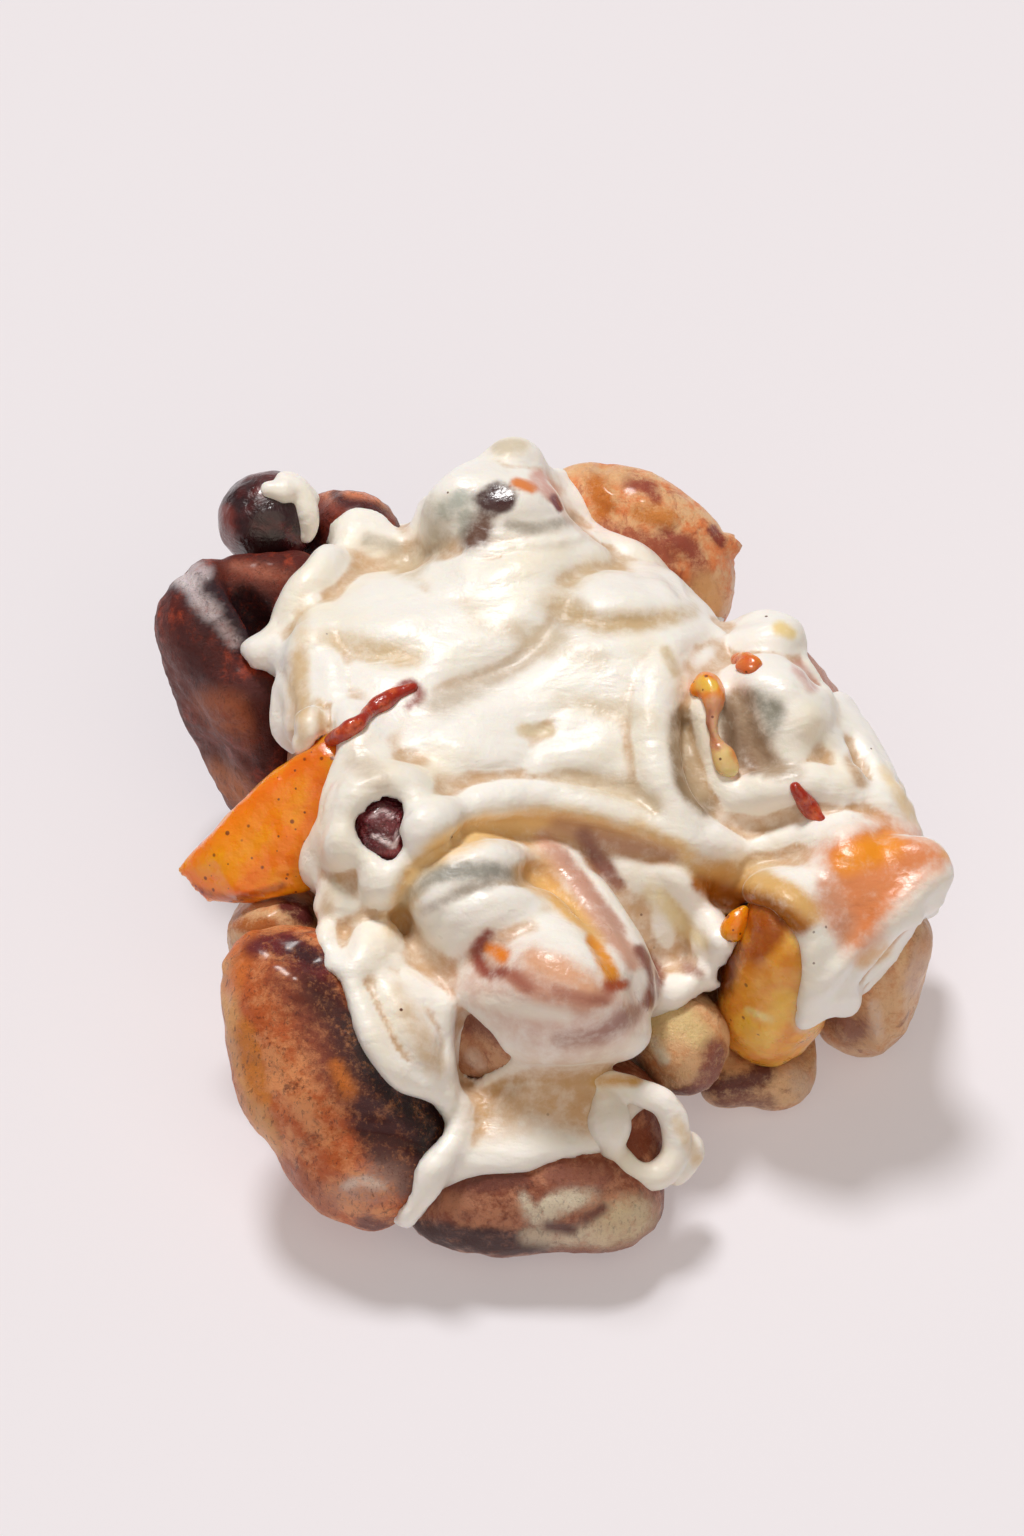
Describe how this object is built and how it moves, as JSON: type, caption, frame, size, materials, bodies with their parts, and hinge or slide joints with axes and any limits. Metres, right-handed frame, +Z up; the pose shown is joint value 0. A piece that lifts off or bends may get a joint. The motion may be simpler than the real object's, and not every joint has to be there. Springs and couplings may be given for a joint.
{
  "type": "cinnamon roll bite",
  "caption": "Helping of pull-apart cinnamon roll: chunks of baked dough with peach slices and blueberries between them, under a thick, slumped coat of cream cheese icing.",
  "frame": {"origin": "On the surface that the bite rests on, under the middle of its box.", "axes": "+Z up, -Y towards the eater, where the icing slumps lowest, +X to the eater's right."},
  "size_m": [0.1054, 0.1078, 0.0518],
  "materials": {
    "dough": "soft baked dough, pale to golden brown",
    "crust": "dark browned crust with baked filling",
    "icing": "moist cream cheese icing",
    "peach": "moist cooked fruit",
    "peel": "moist red fruit skin",
    "berry": "glossy dark fruit skin"
  },
  "bodies": {
    "root": {"berry_left": "berry", "berry_crown": "berry", "berry_crown_small": "berry", "berry_hollow": "berry", "berry_right": "berry", "berry_swirl": "berry", "peach_left": "peach", "peach_swirl": "peach", "peach_right": "peach", "peach_lower": "peach", "peach_strip": "peach", "peach_bit_back": "peach", "peach_bit_flap": "peach", "peel_left": "peel", "peel_right": "peel", "dough_left": "crust", "dough_back_left": "crust", "dough_back_right": "dough", "dough_back": "dough", "dough_right_back": "dough", "dough_right_front": "dough", "dough_right_lower": "dough", "dough_lower_left": "dough", "dough_front": "dough", "dough_left_small": "dough", "dough_middle_front": "dough", "dough_swirl": "dough", "dough_core": "dough", "icing": "icing", "icing_bead": "icing", "icing_drips": "icing"}
  },
  "joints": []
}
